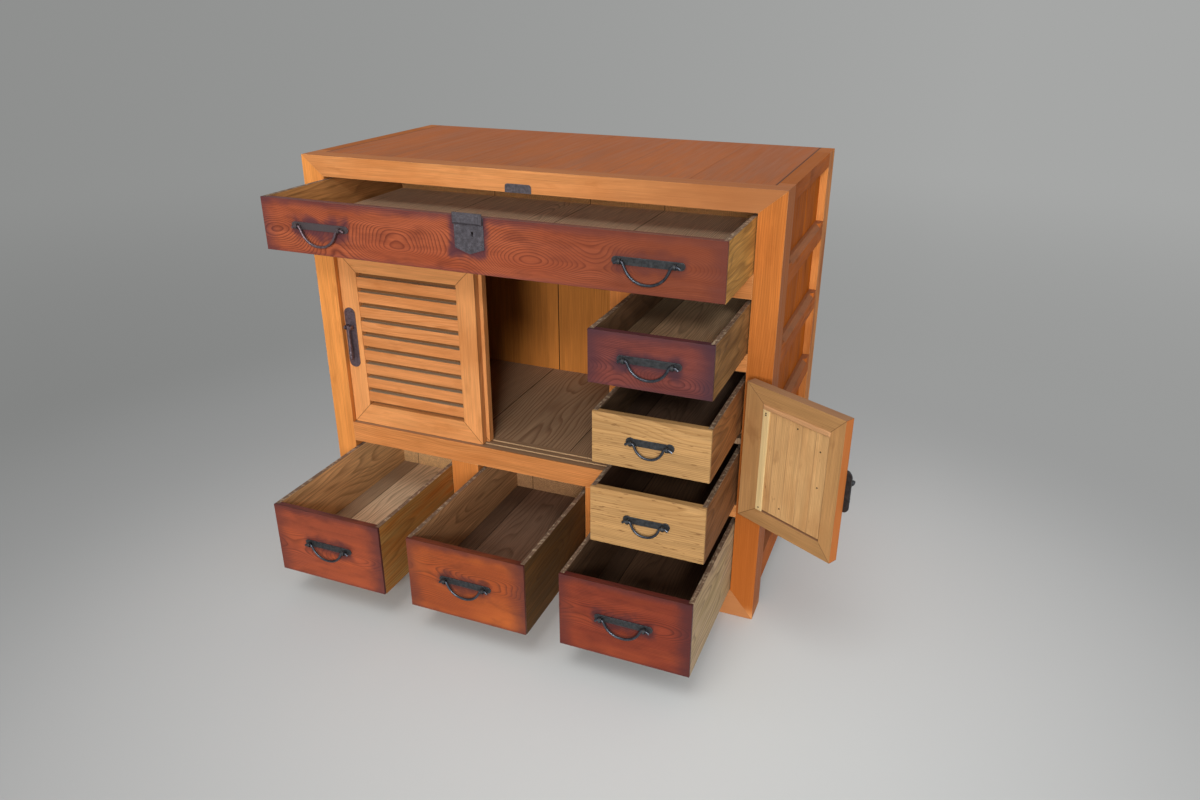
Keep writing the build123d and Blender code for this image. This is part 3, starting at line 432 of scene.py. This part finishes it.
red_fronts = {
    "top_drawer": dict(early="#A65636", late="#5E2A1E", low="#8C3E24", edge="#4C2C34", heart=(22, -4),
                       wave=(15, 236, 92), seed=21),
    "red_drawer": dict(early="#713A34", late="#4A2424", low="#7C3C2E", edge="#402830", heart=(18, -26),
                       wave=(10, 170, 40), seed=22),
    "left_drawer": dict(early="#94452A", late="#5E2A1C", low="#A84E26", edge="#4A2626", heart=(20, -14),
                        seed=23),
    "centre_drawer": dict(early="#96461F", late="#66301A", low="#BC6228", edge="#4A2624", heart=(22, 12),
                          seed=24),
    "right_drawer": dict(early="#7E331E", late="#521F14", low="#A04A24", edge="#422022", heart=(20, 8),
                         seed=25),
}
for drawer, look in red_fronts.items():
    wood = lacquered(drawer, **look)
    if drawer == "top_drawer":
        # the lock's stain, painted shade in its keyhole, and the worn middle of the front
        foot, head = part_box("lock_plate")
        lock, half = (foot + head) / 2, (head - foot) / 2
        halo(wood, lock - Vector((mm(3), 0, 0)), half.x, half.z, mm(14), 0.85, look["edge"])
        # painted shade: a near-black patch where the keyhole looks into the lock
        halo(wood, lock + Vector((mm(6), 0, 0)), mm(4), mm(16), mm(2), 1.0, "#171214")
        wash(wood, "X", -20, 330, "#6C3624", 0.7, ragged=140)
    dress(wood, f"{drawer}_front")


# ---------------------------------------------------------------- light drawer fronts
# The two drawers behind the hinged door have plain unstained fronts, yellow-tan, with short dark
# flecks along the grain.
fleck_width, fleck_stretch = 2.6, 0.12
for drawer, seed in (("upper_light_drawer", 31), ("lower_light_drawer", 32)):
    front = f"{drawer}_front"
    wood = timber(f"bare_{front}", front, "#B58C5A", "#8C6438", along="X", ring=3.0, heart=(30, 40),
                  sway=(14, 4), figure=0.6, streak=1.2, worn="#8A6A50", wear=0.6,
                  patches=(("#A47A4A", 70, 0.5, 0.7, 0.5),), rough=0.6, seed=seed)
    tree = wood.node_tree
    place = add(tree, "ShaderNodeTexCoord", give="Object")
    flat = add(tree, "ShaderNodeMapping", {"Vector": place, "Scale": (fleck_stretch, 1, 1)})
    fleck = add(tree, "ShaderNodeTexNoise", {"Vector": flat, "Scale": 1 / mm(fleck_width), "Detail": 2.0})
    fleck = {"Value": fleck, "From Min": 0.65, "From Max": 0.71, "To Max": 0.75}
    lay_over(wood, add(tree, "ShaderNodeMapRange", fleck), "#6E4A2A")
    dress(wood, front)


# ---------------------------------------------------------------- drawer boxes
# Sides, back and bottom boards are bare wood nailed together. Outside they are mottled olive and
# orange. Inside, each drawer's colours carry painted light and shade: pale where its inside is lit,
# dark where it lies in shade. The upper edges are grey with dust and rubbed pale.
side_board, bottom_height = 8, 35


def box_wood(drawer, outside, blotch, inside_painted_light_and_shade, floor, dark_ring, seed, joints=(38,)):
    """Bare wood of one drawer's box, with the joints of its bottom in mm from the left side board."""
    node = f"{drawer}_box"
    low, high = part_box(node)
    seams = [1000 * low.x + side_board + joint for joint in joints]
    wood = timber(f"bare_{node}", node, inside_painted_light_and_shade, inside_painted_light_and_shade, along="Y", ring=3.2, heart=(12, 18),
                  lean=(1.6, 1.2), sway=(14, 12), figure=0.0, joints=[("X", at) for at in seams],
                  rough=0.68, seed=seed)
    tree = wood.node_tree
    sockets = add(tree, "ShaderNodeTexCoord").node.outputs
    place = sockets["Object"]
    facing = add(tree, "ShaderNodeSeparateXYZ", [sockets["Normal"]]).node.outputs
    spot = add(tree, "ShaderNodeSeparateXYZ", [place]).node.outputs

    # the outer faces look away from the middle; the bottom lies lower than any other upper face
    right = add(tree, "ShaderNodeMath", [spot[0], (low.x + high.x) / 2], operation="SUBTRACT")
    outward = add(tree, "ShaderNodeMath", [right, facing[0]], operation="MULTIPLY")
    outer = add(tree, "ShaderNodeMath", [outward, mm(20)], operation="GREATER_THAN")
    upward = add(tree, "ShaderNodeMath", [facing[2], 0.5], operation="GREATER_THAN")
    over_bottom = low.z + mm(bottom_height + 1)
    under = add(tree, "ShaderNodeMath", [spot[2], over_bottom], operation="LESS_THAN")
    on_floor = add(tree, "ShaderNodeMath", [upward, under], operation="MULTIPLY")
    above = add(tree, "ShaderNodeMath", [spot[2], over_bottom], operation="GREATER_THAN")
    on_edge = add(tree, "ShaderNodeMath", [upward, above], operation="MULTIPLY")

    blotch_size, rub_size, fibre_size = 16, 7, 2.2
    lay_over(wood, outer, outside)
    flow = add(tree, "ShaderNodeMapping", {"Vector": place, "Scale": (1, 0.12, 1)})
    cloud = add(tree, "ShaderNodeTexNoise", {"Vector": flow, "Scale": 1 / mm(blotch_size), "Detail": 5.0})
    cloud = add(tree, "ShaderNodeMapRange", {"Value": cloud, "From Min": 0.38, "From Max": 0.7})
    lay_over(wood, add(tree, "ShaderNodeMath", [cloud, outer], operation="MULTIPLY"), blotch)
    # painted light and shade: the bottom's colour is paled for a drawer whose inside is lit and darkened
    # for one in shade
    lay_over(wood, on_floor, floor)
    if len(seams) == 1:
        # a bottom of two boards has a narrow, darker one at the left
        narrow = add(tree, "ShaderNodeMath", [spot[0], mm(seams[0])], operation="LESS_THAN")
        narrow = add(tree, "ShaderNodeMath", [narrow, on_floor], operation="MULTIPLY")
        lay_over(wood, add(tree, "ShaderNodeMath", [narrow, 0.5], operation="MULTIPLY"), dark_ring)
    lay_over(wood, on_edge, "#7A6250")
    rubbed = add(tree, "ShaderNodeTexNoise", {"Vector": place, "Scale": 1 / mm(rub_size), "Detail": 4.0})
    rubbed = {"Value": rubbed, "From Min": 0.5, "From Max": 0.64, "To Max": 0.8}
    rubbed = [add(tree, "ShaderNodeMapRange", rubbed), on_edge]
    lay_over(wood, add(tree, "ShaderNodeMath", rubbed, operation="MULTIPLY"), "#B8A286")

    # fibres and rings show on every face alike
    base = tree.nodes["Principled BSDF"].inputs["Base Color"]
    fine = add(tree, "ShaderNodeMapping", {"Vector": place, "Scale": (1, 0.03, 1)})
    fine = add(tree, "ShaderNodeTexNoise", {"Vector": fine, "Scale": 1 / mm(fibre_size), "Detail": 4.0})
    tone = add(tree, "ShaderNodeMapRange", {"Value": fine, **noise_span, "To Min": 0.74, "To Max": 1.16})
    tinted = {0: base.links[0].from_socket, "Scale": tone}
    tree.links.new(add(tree, "ShaderNodeVectorMath", tinted, operation="SCALE"), base)
    rings = tree.nodes["growth_rings"].outputs[0]
    lay_over(wood, add(tree, "ShaderNodeMath", [rings, 0.42], operation="MULTIPLY"), dark_ring)
    for at in seams:
        seam(wood, at, 1.1, "#24170E")
    return wood


# each drawer's inside and bottom colours carry painted light and shade, not the wood's own tone
boxes = {
    "top_drawer": dict(outside="#CE9850", blotch="#AE7C3E", inside_painted_light_and_shade="#BE8A54", floor="#EACAA6",
                       dark_ring="#5E3E26", seed=41, joints=(220, 430, 582)),
    "red_drawer": dict(outside="#9C7244", blotch="#74502C", inside_painted_light_and_shade="#7A5C42", floor="#CCAA84",
                       dark_ring="#40301E", seed=42),
    "upper_light_drawer": dict(outside="#A06C40", blotch="#7C4C2A", inside_painted_light_and_shade="#5E4834", floor="#665040",
                               dark_ring="#33241A", seed=43),
    "lower_light_drawer": dict(outside="#8E603C", blotch="#6A4426", inside_painted_light_and_shade="#463022", floor="#553E2C",
                               dark_ring="#30221A", seed=44),
    "left_drawer": dict(outside="#AC7E44", blotch="#B46A2A", inside_painted_light_and_shade="#E2B47E", floor="#E2C29E",
                        dark_ring="#5A3A1E", seed=45),
    "centre_drawer": dict(outside="#5E4428", blotch="#6E4A26", inside_painted_light_and_shade="#BE8E62", floor="#80624E",
                          dark_ring="#402C1C", seed=46),
    "right_drawer": dict(outside="#B09870", blotch="#C0A486", inside_painted_light_and_shade="#6A4E38", floor="#6A4E3A",
                         dark_ring="#33261C", seed=47),
}
for drawer, look in boxes.items():
    dress(box_wood(drawer, **look), f"{drawer}_box")


# ---------------------------------------------------------------- sliding doors
# Each door is a light mitred frame round nine level slats on a backing board. The slats are the
# same oiled softwood. The backing in the gaps between them is painted dark as shade, and dust lies
# on their upper edges.
sliding_foot, sliding_head = 255.3, 619.3
sliding_members = (39.5, 39.5, 43, 40)
whole_piece = ("Z", 0, 1)
for door, seed in (("front_sliding_door", 51), ("rear_sliding_door", 52)):
    low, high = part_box(f"{door}_frame")
    outline = (1000 * low.x, 1000 * high.x, sliding_foot, sliding_head, *sliding_members)
    wood = timber(f"oiled_{door}_frame", f"{door}_frame", frame_pale, frame_ring, mitre=outline,
                  patches=streaks, worn="#B06A34", wear=0.6, seed=seed)
    dress(wood, f"{door}_frame")
    slats = timber(f"oiled_{door}_slats", f"{door}_slats", "#D48C54", "#B2682F", along="X", heart=(40, 46),
                   patches=streaks, worn="#8A5A34", wear=0.8, seed=seed + 2)
    face = 1000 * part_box(f"{door}_slats")[0].y
    # painted shade: the slats' node is darkened from just behind their faces, where shade falls in the gaps
    wash(slats, "Y", face + 1, face + 5, "#624226", 0.85)
    wash(slats, *whole_piece, "#B8A488", 0.7, facing=up)
    dress(slats, f"{door}_slats")


# ---------------------------------------------------------------- hinged door
# The door stands open and shows its unfinished inside: a mitred frame, then five upright boards
# raised in the middle. The free edge and the outer side have the oiled orange of the front.
hinge_line = Vector((mm(421), mm(-24.5), 0))
swing = math.radians(151)
opened = (hinge_line, swing)
free_side = Matrix.Rotation(swing, 3, "Z") @ Vector(leftward)
outer_side = Matrix.Rotation(swing, 3, "Z") @ Vector(forward)

# the door as it lies when closed
door_left, door_right, door_foot, door_head = 211.25, 408.75, 242, 494.25
free_stile, hinge_stile, door_rail, panel_boards = 26, 38, 28, 5
panel_left, panel_right = door_left + free_stile, door_right - hinge_stile
panel_foot, panel_head = door_foot + door_rail, door_head - door_rail
door_outline = (door_left, door_right, door_foot, door_head, free_stile, hinge_stile, door_rail, door_rail)
panel_joints = [("X", panel_left + (panel_right - panel_left) * n / panel_boards)
                for n in range(1, panel_boards)]

door_patches = (("#A9794A", 50, 0.48, 0.66, 0.6), ("#8A5E38", 24, 0.6, 0.72, 0.5),
                ("#6E4628", 7, 0.68, 0.76, 0.5))
door_frame = timber("bare_hinged_door_frame", "hinged_door_frame", "#B08454", "#8E6238", figure=0.5,
                    mitre=door_outline, turned=opened, patches=door_patches, worn="#8A6A52", wear=0.6,
                    rough=0.62, seed=61)
wash(door_frame, *whole_piece, "#B4642C", 0.85, facing=free_side)
wash(door_frame, *whole_piece, "#C07434", 0.95, facing=outer_side)
wash(door_frame, *whole_piece, "#9C7458", 0.7, facing=up)
dress(door_frame, "hinged_door_frame")
door_panel = timber("bare_hinged_door_panel", "hinged_door_panel", "#CCA06C", "#AE8250", ring=2.6,
                    figure=0.5, joints=panel_joints, turned=opened, patches=door_patches, worn="#A88460",
                    wear=0.6, rough=0.62, seed=62)
wash(door_panel, *whole_piece, "#B87038", 0.8, facing=outer_side)
dress(door_panel, "hinged_door_panel")


# ---------------------------------------------------------------- trim of the hinged door
# A pale strip covers the panel's edge on the hinge side, and a rounded bead runs under the top
# rail. Both are planed softwood, sprigged on.
def show(name, data):
    """Puts a new object into the scene."""
    piece = bpy.data.objects.new(name, data)
    bpy.context.scene.collection.objects.link(piece)
    return piece


def on_door(name, material, sheet):
    """Turns a closed door's trim out with the door, and lets it ride there."""
    away = Matrix.Translation(hinge_line) @ Matrix.Rotation(swing, 4, "Z") @ Matrix.Translation(-hinge_line)
    bmesh.ops.transform(sheet, matrix=away, verts=sheet.verts)
    bmesh.ops.recalc_face_normals(sheet, faces=sheet.faces)
    mesh = bpy.data.meshes.new(name)
    sheet.to_mesh(mesh)
    sheet.free()
    mesh.materials.append(material)
    piece = show(name, mesh)
    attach(piece, "hinged_door")


panel_face, strip_face, bead_face = -3, -0.2, 0.8
strip_width, bead_height = 13, 9
strip_low = (panel_right - strip_width, panel_face, panel_foot)
strip_high = (panel_right, strip_face, panel_head - bead_height)
bead_low = (panel_left, panel_face, panel_head - bead_height)
bead_high = (panel_right, bead_face, panel_head)
for name, low, high, rounding, along, early, late in (
        ("hinged_door_strip", strip_low, strip_high, 0.8, "Z", "#D8BC88", "#C4A470"),
        ("hinged_door_bead", bead_low, bead_high, 2.4, "X", "#C49468", "#A67448")):
    low, high = Vector(low) / 1000, Vector(high) / 1000
    trim = bmesh.new()
    bmesh.ops.create_cube(trim, size=1.0)
    bmesh.ops.scale(trim, vec=high - low, verts=trim.verts)
    bmesh.ops.translate(trim, vec=(low + high) / 2, verts=trim.verts)
    proud = [edge for edge in trim.edges if all(vert.co.y > mm(panel_face + 1) for vert in edge.verts)]
    bmesh.ops.bevel(trim, geom=proud, offset=mm(rounding), segments=4, profile=0.5, affect="EDGES",
                    material=-1)
    finish = timber(f"bare_{name}", "hinged_door_panel", early, late, along=along, turned=opened,
                    figure=0.5, worn="#8E6C4C", wear=0.5, rough=0.62, seed=63)
    on_door(name, finish, trim)


# ---------------------------------------------------------------- iron
# All the ironwork was forged, filed and blackened with oil and smoke. Hammer marks are a few
# millimetres wide, raised edges are rubbed brighter, and a little brown rust sits in the hollows.
# On the rods the pale bluish rubbed colour is also a painted highlight.
def forged(name, dark, rubbed, rough, hammer=5.0):
    """Blackened forged iron with hammer marks, rubbed edges and rust; on rods the rubbed colour is also a
    painted highlight.
    """
    material, tree, shader = new_finish(name)
    shader.inputs["Metallic"].default_value = 0.85
    place = add(tree, "ShaderNodeTexCoord", give="Object")
    grit_size, edge_radius = 1.2, 0.7
    marks = add(tree, "ShaderNodeTexNoise", {"Vector": place, "Scale": 1 / mm(hammer), "Detail": 2.0})
    grit = add(tree, "ShaderNodeTexNoise", {"Vector": place, "Scale": 1 / mm(grit_size), "Detail": 4.0})
    rounded = add(tree, "ShaderNodeBevel", {"Radius": mm(edge_radius)}, samples=4)
    tone = add(tree, "ShaderNodeMapRange", {"Value": marks, **noise_span, "To Min": 0.7, "To Max": 1.3})
    toned = add(tree, "ShaderNodeVectorMath", {0: linear(dark)[:3], "Scale": tone}, operation="SCALE")
    tree.links.new(toned, shader.inputs["Base Color"])
    rust = {"Value": grit, "From Min": 0.56, "From Max": 0.72, "To Max": 0.5}
    lay_over(material, add(tree, "ShaderNodeMapRange", rust), "#4A372C")
    lay_over(material, arris(tree, rounded, 0.99, 0.8, 0.8), rubbed)
    sheen = {"Value": grit, **noise_span, "To Min": rough - 0.1, "To Max": rough + 0.12}
    tree.links.new(add(tree, "ShaderNodeMapRange", sheen), shader.inputs["Roughness"])
    height = add(tree, "ShaderNodeMath", [grit, 0.25, marks], operation="MULTIPLY_ADD")
    relief = {"Strength": 0.6, "Distance": mm(0.5), "Height": height, "Normal": rounded}
    tree.links.new(add(tree, "ShaderNodeBump", relief), shader.inputs["Normal"])
    return material


plate_dark, plate_rubbed = "#424446", "#74787E"
iron_plate = forged("blackened_plate_iron", plate_dark, plate_rubbed, 0.55)
# the rods' pale bluish rubbed edges are partly wear and partly a painted highlight
iron_rod = forged("blackened_rod_iron", "#4A4E56", "#B0B6C0", 0.34, hammer=7.0)
iron_lock = forged("blackened_lock_iron", "#646066", "#8A8A92", 0.6)
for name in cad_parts:
    if name.endswith(("_pull", "_cup")) or name in ("case_hinge_leaves", "door_hinge_leaves"):
        dress(iron_plate, name)
    elif "_bail" in name or name.endswith("_drop"):
        dress(iron_rod, name)
    elif name in ("lock_plate", "lock_hood", "strike_plate"):
        dress(iron_lock, name)

# the pulls at the left have gone browner; the long drawer's two plates are one node
iron_browned = forged("browned_iron", "#726268", "#A49A9C", 0.5)
iron_pair = forged("blackened_pair_iron", plate_dark, plate_rubbed, 0.55)
wash(iron_pair, "X", 0, -200, "#6E6264", 0.75)
dress(iron_browned, "front_sliding_door_pull", "front_sliding_door_drop", "top_drawer_bail")
dress(iron_pair, "top_drawer_pull")


# ---------------------------------------------------------------- nails of the hinged door
# Cut nails hold the strip and the panel's boards. They are driven nearly flush and rusted dark,
# and their hammer marks are finer than those of the plates.
strip_nails = ((364, 452), (364, 448.5), (364, 276))
panel_nails = ((300, 447), (253, 425), (322, 291), (252, 362))
upright_to_forward = Matrix.Rotation(math.radians(-90), 3, "X")
nails = bmesh.new()
for spots, proud in ((strip_nails, 0.2), (panel_nails, panel_face + 0.4)):
    for across, height in spots:
        head = bmesh.ops.create_cone(nails, cap_ends=True, segments=10, radius1=mm(1.5), radius2=mm(1.0),
                                     depth=mm(0.9))
        bmesh.ops.rotate(nails, verts=head["verts"], cent=(0, 0, 0), matrix=upright_to_forward)
        bmesh.ops.translate(nails, verts=head["verts"], vec=(mm(across), mm(proud), mm(height)))
on_door("hinged_door_nails", forged("rusted_nail_iron", "#3A2E28", "#5A4A40", 0.7, hammer=1.5), nails)


# ---------------------------------------------------------------- studio floor
# A grey paper floor runs back without an edge. A painted pool of light makes it palest where the
# chest stands and greyer further out. Further out still the lit paper gives way to paper that glows
# by itself in the backdrop's grey, so that no horizon shows.
def backdrop_grey(tree, direction):
    """The backdrop's grey, with painted shade: darker to the left, paler to the right."""
    level = add(tree, "ShaderNodeVectorMath", [direction, (1, 1, 0)], operation="MULTIPLY")
    level = add(tree, "ShaderNodeVectorMath", [level], operation="NORMALIZE")
    level = add(tree, "ShaderNodeSeparateXYZ", [level])
    level = add(tree, "ShaderNodeMapRange", {"Value": level, "From Min": -0.83, "From Max": 0.0})
    greys = {0: level, 6: linear("#8E8F8E"), 7: linear("#A6A7A6")}
    return add(tree, "ShaderNodeMix", greys, give=2, data_type="RGBA")


# the floor's grey goes by direction from under the camera, as the air's does, so the two match
painted_light_middle, under_camera = (0.35, -0.3, 0), (0.7, -1.4, 0)
stage_paper, tree, shader = new_finish("grey_studio_paper")
shader.inputs["Roughness"].default_value = 0.9
place = add(tree, "ShaderNodeTexCoord", give="Object")
reach = add(tree, "ShaderNodeVectorMath", [place, painted_light_middle], operation="SUBTRACT")
reach = add(tree, "ShaderNodeVectorMath", [reach], give="Value", operation="LENGTH")
# painted pool of light: the paper is palest round this middle and greyer further out
painted_light_pool = {"Value": reach, "From Min": 0.1, "From Max": 1.5}
painted_light_pool = add(tree, "ShaderNodeMapRange", painted_light_pool, interpolation_type="SMOOTHSTEP")
paper = {0: painted_light_pool, 6: linear("#DCDEDD"), 7: linear("#A2A3A3")}
tree.links.new(add(tree, "ShaderNodeMix", paper, give=2, data_type="RGBA"), shader.inputs["Base Color"])
outward = add(tree, "ShaderNodeVectorMath", [place, under_camera], operation="SUBTRACT")
dip = {"Value": reach, "From Min": 1.8, "From Max": 5.5, "To Min": 0.84, "To Max": 1.0}
dip = add(tree, "ShaderNodeMapRange", dip, interpolation_type="SMOOTHSTEP")
# the far paper glows by itself, with no lamp, in the backdrop's grey
glow = add(tree, "ShaderNodeEmission", {"Color": backdrop_grey(tree, outward), "Strength": dip})
fade = {"Value": reach, "From Min": 0.9, "From Max": 2.1}
fade = add(tree, "ShaderNodeMapRange", fade, interpolation_type="SMOOTHSTEP")
mixed = add(tree, "ShaderNodeMixShader", {0: fade, 1: shader.outputs[0], 2: glow})
tree.links.new(mixed, tree.nodes["Material Output"].inputs["Surface"])

floor_radius, floor_gap = 120.0, mm(0.5)
sheet = bmesh.new()
bmesh.ops.create_circle(sheet, cap_ends=True, segments=64, radius=floor_radius)
bmesh.ops.translate(sheet, vec=(0, 0, -floor_gap), verts=sheet.verts)
floor_mesh = bpy.data.meshes.new("studio_floor")
sheet.to_mesh(floor_mesh)
sheet.free()
floor_mesh.materials.append(stage_paper)
floor = show("studio_floor", floor_mesh)


# ---------------------------------------------------------------- studio air and lamps
# Even white light comes from all round, and what looks past the chest sees the grey backdrop.
# Three soft lamps stand in front: the key a little to the right, a low one beside it that
# reaches into the drawers and the open door, and a broad high one that lights the top.
air_strength = 0.46
world = bpy.data.worlds.new("studio_air")
bpy.context.scene.world = world
world.use_nodes = True
tree = world.node_tree
even = tree.nodes["Background"]
even.inputs["Color"].default_value = (1.0, 1.0, 1.0, 1.0)
even.inputs["Strength"].default_value = air_strength
direction = add(tree, "ShaderNodeTexCoord", give="Generated")
seen = add(tree, "ShaderNodeBackground", {"Color": backdrop_grey(tree, direction), "Strength": 1.0})
path = add(tree, "ShaderNodeLightPath").node.outputs
direct = add(tree, "ShaderNodeMath", [path["Is Camera Ray"], path["Is Glossy Ray"]], operation="MAXIMUM")
direct = add(tree, "ShaderNodeMath", [direct, path["Is Transmission Ray"]], operation="MAXIMUM")
mixed = add(tree, "ShaderNodeMixShader", {0: direct, 1: even.outputs[0], 2: seen})
tree.links.new(mixed, tree.nodes["World Output"].inputs["Surface"])

# degrees to the right of the chest's front, degrees up, breadth in degrees, strength
lamps = {"key_lamp": (22.5, 28, 8, 0.9), "low_lamp": (12, 10.5, 16, 1.8), "high_lamp": (-8, 64, 30, 0.65)}
lamp_distance = 2
for name, (azimuth, height, breadth, strength) in lamps.items():
    lamp_data = bpy.data.lights.new(name, "SUN")
    lamp_data.angle = math.radians(breadth)
    lamp_data.energy = strength
    lamp = show(name, lamp_data)
    turn, rise = math.radians(azimuth), math.radians(height)
    towards = (math.sin(turn) * math.cos(rise), -math.cos(turn) * math.cos(rise), math.sin(rise))
    lamp.location = lamp_distance * Vector(towards)
    lamp.rotation_euler = (-lamp.location).to_track_quat("-Z", "Y").to_euler()


# ---------------------------------------------------------------- camera
# A camera stands in front, to the right and a little above the top, and looks down at the open
# chest. Its pitch, yaw and roll are in radians.
pitch, yaw, roll = 0.4219, 0.3831, 0.0021
camera_data = bpy.data.cameras.new("camera")
camera_data.sensor_width = 36.0
camera_data.lens = 26.94
camera = show("camera", camera_data)
camera.location = [mm(value) for value in (702.8, -1399.1, 1068.0)]
heading = Euler((math.radians(90) - pitch, 0, yaw)).to_matrix()
camera.rotation_euler = (heading @ Matrix.Rotation(roll, 3, "Z")).to_euler()
bpy.context.scene.camera = camera
bpy.context.scene.view_settings.view_transform = "Standard"

bpy.context.view_layer.update()
